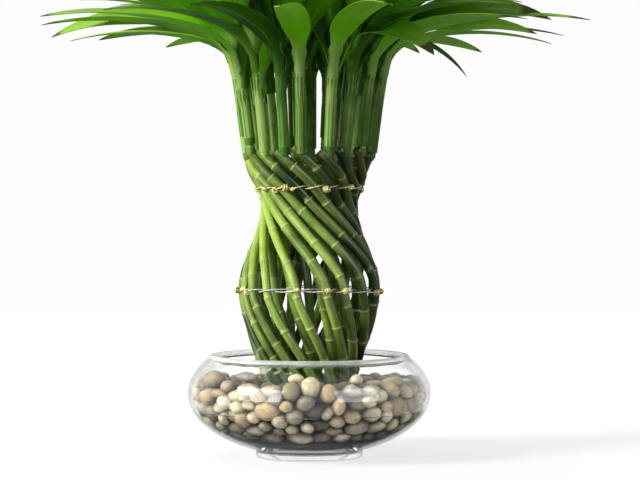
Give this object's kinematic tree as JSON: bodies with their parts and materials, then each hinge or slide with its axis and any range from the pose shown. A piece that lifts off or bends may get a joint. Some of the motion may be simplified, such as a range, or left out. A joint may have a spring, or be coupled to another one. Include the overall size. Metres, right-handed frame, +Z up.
{
  "type": "lucky bamboo",
  "caption": "Trained lucky bamboo: a ring of twisted cut canes with leafy shoots, tied with wire, standing in a squat glass bowl of river stones and water.",
  "frame": {"origin": "centre of the bowl's foot, on the surface that it stands on", "axes": "+Z up along the axis of the bowl and of the ring of canes; -Y is the side that faces the viewer"},
  "size_m": [0.4426, 0.4408, 0.4672],
  "materials": {
    "glass": "clear polished glass",
    "water": "clear still water",
    "stones": "smooth river stones in cream, tan, brown and grey",
    "cane": "satin green cane with pale rings",
    "leaf": "satin leaf with fine ribs",
    "wire": "thin gilt tie wire"
  },
  "bodies": {
    "root": {"bowl": "glass", "water": "water", "stone_bed": "stones", "cane_01": "cane", "shoot_01": "leaf", "cane_02": "cane", "shoot_02": "leaf", "cane_03": "cane", "shoot_03": "leaf", "cane_04": "cane", "shoot_04": "leaf", "cane_05": "cane", "shoot_05": "leaf", "cane_06": "cane", "shoot_06": "leaf", "cane_07": "cane", "shoot_07": "leaf", "cane_08": "cane", "shoot_08": "leaf", "cane_09": "cane", "shoot_09": "leaf", "cane_10": "cane", "shoot_10": "leaf", "cane_11": "cane", "shoot_11": "leaf", "cane_12": "cane", "shoot_12": "leaf", "cane_13": "cane", "shoot_13": "leaf", "cane_14": "cane", "shoot_14": "leaf", "cane_15": "cane", "shoot_15": "leaf", "cane_16": "cane", "shoot_16": "leaf", "cane_17": "cane", "shoot_17": "leaf", "cane_18": "cane", "shoot_18": "leaf", "tie_lower": "wire", "tie_upper": "wire"}
  },
  "joints": []
}
